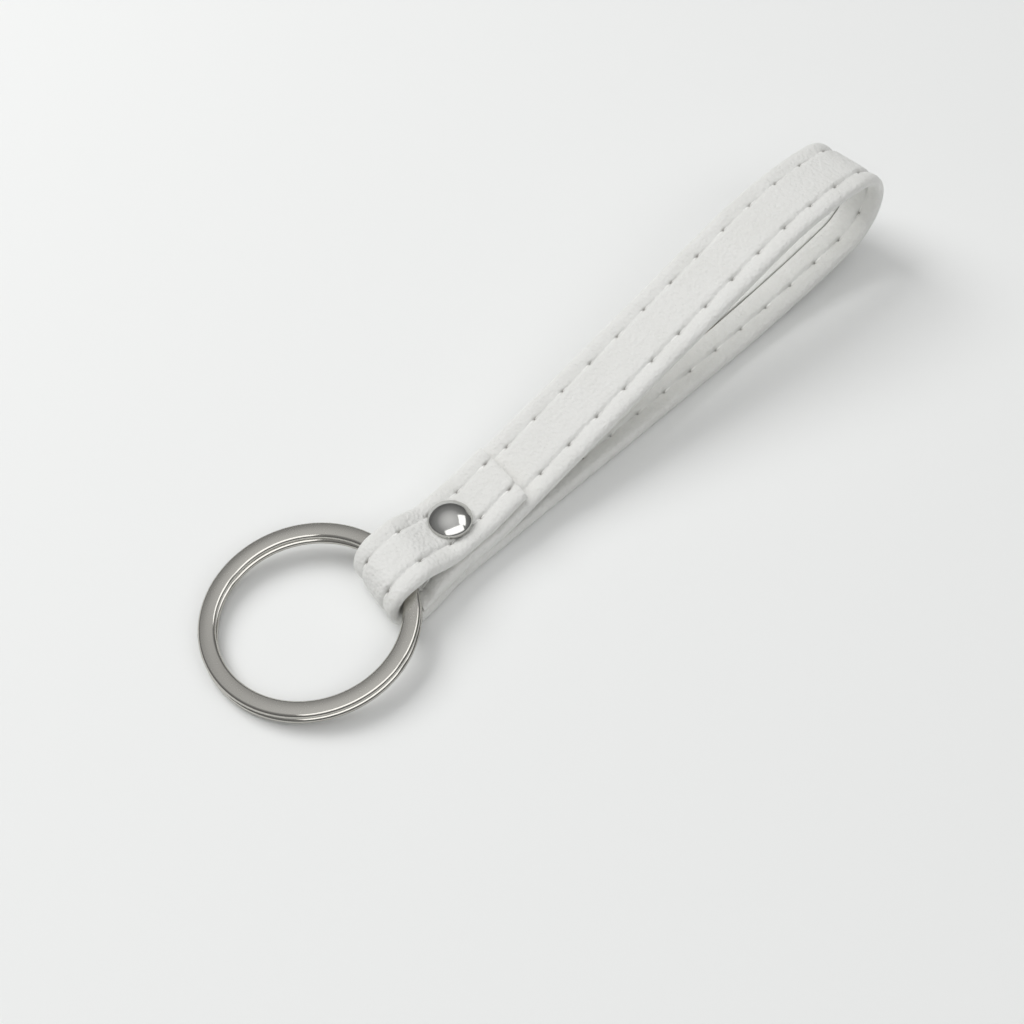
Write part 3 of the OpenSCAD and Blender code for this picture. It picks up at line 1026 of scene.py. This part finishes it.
class KEYHOLDER_OT_filler(bpy.types.Operator):
    """Make the padding strip that shows in the slit and at the cut ends"""

    bl_idname = "keyholder.filler"
    bl_label = "Filler"

    def execute(self, context):
        strap = context.scene.key_holder.strap
        dists = [dist for dist in cover_dists([]) if dist > PARED_TO]
        dists[-1] = PATH_LEN - FILLER_PLAY / 2
        filler = sweep("padding_strip", dists, filler_section(strap))
        dress(filler, bonded_filler(strap))
        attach(filler, "strap")
        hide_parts("strap_filler")
        return {"FINISHED"}


class KEYHOLDER_OT_stitches(bpy.types.Operator):
    """Sew both rows, with their threads on the front and on the back"""

    bl_idname = "keyholder.stitches"
    bl_label = "Stitches"

    def execute(self, context):
        settings = context.scene.key_holder
        thread = settings.thread
        strap = settings.strap
        depth = (strap.thickness / 2 - strap.valley) / MM - THREAD_DEPTH
        holes = stitch_holes(thread)
        material = sewing_thread(thread)
        tree = stitch_tree()
        for node, side, face in (
            ("needle_thread_left", 1, 1), ("needle_thread_right", -1, 1),
            ("bobbin_thread_left", 1, -1), ("bobbin_thread_right", -1, -1),
        ):
            lines = stitch_lines(
                node + "_lines", holes, lambda dist: side * row_at(strap, thread, dist),
                depth, face,
            )
            sewn = grow("sewn_" + node, lines, tree, {
                "Thread Radius": thread.diameter / 2,
                "Sink": thread.sink,
                "Thin": 0.3,
                "Sides": 8,
                "Material": material,
            })
            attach(sewn, "strap")
            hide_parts(node)
        return {"FINISHED"}


# Front cap, in millimetres: how far it sits towards the near edge, the hollow under it, its
# rolled rim as (distance inside the radius, height), and its dome
CAP_OVER = 0.4
CAP_HOLLOW = 0.25
CAP_RIM = (
    (0.5, CAP_HOLLOW), (0.35, 0.02), (0.14, -0.05), (0.03, 0.03), (0, 0.15), (0, 0.7),
    (0.03, 0.79),
)
CAP_TOP = 2.28
CAP_DOME = 1.4
DOME_INSET = 0.1
DOME_STEPS = 24

# Back cap, in millimetres: its rounded edge the same way, and the thickness of its sheet
BACK_RIM = ((0.2, 0), (0.08, 0.03), (0.02, 0.1), (0, 0.2))
BACK_WALL = 0.2


class KEYHOLDER_OT_rivet(bpy.types.Operator):
    """Turn the rivet's caps and finish the post and socket inside"""

    bl_idname = "keyholder.rivet"
    bl_label = "Rivet"

    def execute(self, context):
        metal = context.scene.key_holder.metal
        nickel = polished_nickel(metal)
        r = metal.cap / MM / 2
        foot = Vector((RIVET_X - MIDDLE_X, -MIDDLE_Y - CAP_OVER, STACK_H)) * MM
        front = [(0, CAP_HOLLOW)] + [(r - inside, height) for inside, height in CAP_RIM]
        foot_r = r - DOME_INSET
        ball = (foot_r ** 2 + CAP_DOME ** 2) / (2 * CAP_DOME)
        for k in range(DOME_STEPS + 1):
            x = foot_r * (1 - k / DOME_STEPS)
            front.append((x, CAP_TOP - ball + math.sqrt(ball ** 2 - x * x)))
        cap = lathe("rivet_cap_front", front, foot)
        dress(cap, nickel)
        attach(cap, "strap")
        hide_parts("rivet_front_cap")
        r = metal.back_cap / MM / 2
        low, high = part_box("rivet_back_cap")
        h = (high[2] - low[2]) / MM
        back = [(0, 0)] + [(r - inside, height) for inside, height in BACK_RIM]
        back += [(r, h), (r - BACK_WALL, h), (r - BACK_WALL, h - BACK_WALL), (0, h - BACK_WALL)]
        flat = lathe("rivet_cap_back", back, Vector((foot.x, -MIDDLE_Y * MM, low[2])))
        dress(flat, nickel)
        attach(flat, "strap")
        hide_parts("rivet_back_cap")
        for name in ("rivet_post", "rivet_socket"):
            dress(frame["nodes"][name], nickel)
        return {"FINISHED"}


class KEYHOLDER_OT_ring(bpy.types.Operator):
    """Wind the split ring from one flat wire and lay it in the fold"""

    bl_idname = "keyholder.ring"
    bl_label = "Split Ring"

    def execute(self, context):
        metal = context.scene.key_holder.metal
        ring = grow("wound_split_ring", wire_section(metal), wound_wire_tree(), {
            "Radius": (metal.ring - metal.wire) / 2,
            "Coil Pitch": metal.coil + metal.gap,
            "Half Climb": HALF_CLIMB,
            "Steps": RING_STEPS,
            "Material": ring_steel(metal),
        })
        mesh = ring.data
        bm = bmesh.new()
        bm.from_mesh(mesh)
        bmesh.ops.recalc_face_normals(bm, faces=bm.faces)
        bm.to_mesh(mesh)
        bm.free()
        smooth(mesh, 30)
        up = [abs(n.vector.z) for n in mesh.vertex_normals]
        attribute = mesh.attributes.new("flat_face", "FLOAT", "POINT")
        attribute.data.foreach_set("value", [ease(FACE_FROM, FACE_FULL, z) for z in up])
        mesh.transform(
            Matrix.Translation(Vector(HINGE["pos_m"]))
            @ Matrix.Rotation(-YAW, 4, "Z")
            @ Matrix.Rotation(-RING_TILT, 4, "Y")
            @ Matrix.Translation((-AXIS_TO_CENTRE * MM, 0, 0))
        )
        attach(ring, "ring")
        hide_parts("split_ring")
        return {"FINISHED"}


# Softboxes light the leather and the floor, and reflectors show only in the metal.
# Each has its place, width and height in metres, its power in watts, and True for a reflector.
LAMPS = (
    ("softbox_back", (-0.14, 0.53, 0.61), 0.5, 0.5, 3.8, False),
    ("softbox_front", (-0.18, -0.48, 0.54), 1.1, 0.24, 0.95, False),
    ("reflector_front", (-0.18, -0.48, 0.52), 1.1, 0.34, 1.9, True),
    ("reflector_right", (0.441, -0.273, 0.53), 0.5, 0.36, 0.9, True),
)
# Grey of the studio by the height of the view: pale at the horizon and bright overhead
SKY = ((0, 0.5), (0.03, 0.45), (0.09, 0.12), (0.65, 0.34), (1, 0.85))
FLOOR_HALF = 12
SENSOR_WIDTH = 36
# What the camera looks at, in strap coordinates
TARGET = (27.615, -2.268)


class KEYHOLDER_OT_stage(bpy.types.Operator):
    """Lay the floor, hang the soft light and aim the camera"""

    bl_idname = "keyholder.stage"
    bl_label = "Stage"

    def execute(self, context):
        stage = context.scene.key_holder.stage
        scene = context.scene
        bm = bmesh.new()
        bmesh.ops.create_grid(bm, x_segments=1, y_segments=1, size=FLOOR_HALF)
        mesh = bpy.data.meshes.new("floor")
        bm.to_mesh(mesh)
        bm.free()
        floor = new_object("floor", mesh)
        dress(floor, floor_paper(stage))

        world = bpy.data.worlds.new("soft_studio")
        world.use_nodes = True
        tree = world.node_tree
        back = tree.nodes["Background"]
        way = add_node(tree, "ShaderNodeSeparateXYZ", [
            (0, add_node(tree, "ShaderNodeTexCoord").outputs["Generated"]),
        ])
        height = add_node(tree, "ShaderNodeValToRGB", [(0, way.outputs["Z"])])
        ramp = height.color_ramp.elements
        while len(ramp) < len(SKY):
            ramp.new(0.5)
        for element, (position, level) in zip(ramp, SKY):
            element.position = position
            element.color = (level, level, level, 1)
        tree.links.new(height.outputs[0], back.inputs["Color"])
        back.inputs["Strength"].default_value = 1.0
        scene.world = world

        target = Vector((TARGET[0] - MIDDLE_X, TARGET[1] - MIDDLE_Y, 0)) * MM
        for name, place, width, height, power, mirrored in LAMPS:
            data = bpy.data.lights.new(name, "AREA")
            data.shape = "RECTANGLE"
            data.size = width
            data.size_y = height
            data.energy = power
            lamp = bpy.data.objects.new(name, data)
            lamp.visible_glossy = mirrored
            lamp.visible_diffuse = not mirrored
            lamp.location = place
            lamp.rotation_euler = (target - lamp.location).to_track_quat("-Z", "Y").to_euler()
            scene.collection.objects.link(lamp)

        flat = math.cos(stage.elevation)
        way = Vector((
            flat * math.cos(stage.azimuth), flat * math.sin(stage.azimuth),
            -math.sin(stage.elevation),
        ))
        data = bpy.data.cameras.new("camera")
        data.lens = stage.lens
        data.sensor_width = SENSOR_WIDTH
        camera = bpy.data.objects.new("camera", data)
        camera.location = target - way * stage.distance
        camera.rotation_euler = way.to_track_quat("-Z", "Y").to_euler()
        scene.collection.objects.link(camera)
        scene.camera = camera
        scene.view_settings.view_transform = "Standard"
        return {"FINISHED"}


class KEYHOLDER_PT_panel(bpy.types.Panel):
    """Lists the pieces of the key holder"""

    bl_idname = "KEYHOLDER_PT_panel"
    bl_label = "Key Holder"
    bl_space_type = "VIEW_3D"
    bl_region_type = "UI"
    bl_category = "Key Holder"

    def draw(self, context):
        settings = context.scene.key_holder
        for group in (settings.strap, settings.thread, settings.metal, settings.stage):
            box = self.layout.box()
            for name in group.__annotations__:
                box.prop(group, name)
        for operator in OPERATORS:
            self.layout.operator(operator.bl_idname)


OPERATORS = (
    KEYHOLDER_OT_leather,
    KEYHOLDER_OT_filler,
    KEYHOLDER_OT_stitches,
    KEYHOLDER_OT_rivet,
    KEYHOLDER_OT_ring,
    KEYHOLDER_OT_stage,
)
CLASSES = (
    StrapSettings, ThreadSettings, MetalSettings, StageSettings, KeyHolderSettings,
    *OPERATORS, KEYHOLDER_PT_panel,
)


def register():
    for item in CLASSES:
        bpy.utils.register_class(item)
    bpy.types.Scene.key_holder = PointerProperty(type=KeyHolderSettings)


def unregister():
    del bpy.types.Scene.key_holder
    for item in reversed(CLASSES):
        bpy.utils.unregister_class(item)


def main():
    register()
    bpy.ops.keyholder.leather()
    bpy.ops.keyholder.filler()
    bpy.ops.keyholder.stitches()
    bpy.ops.keyholder.rivet()
    bpy.ops.keyholder.ring()
    bpy.ops.keyholder.stage()


if __name__ == "__main__":
    main()
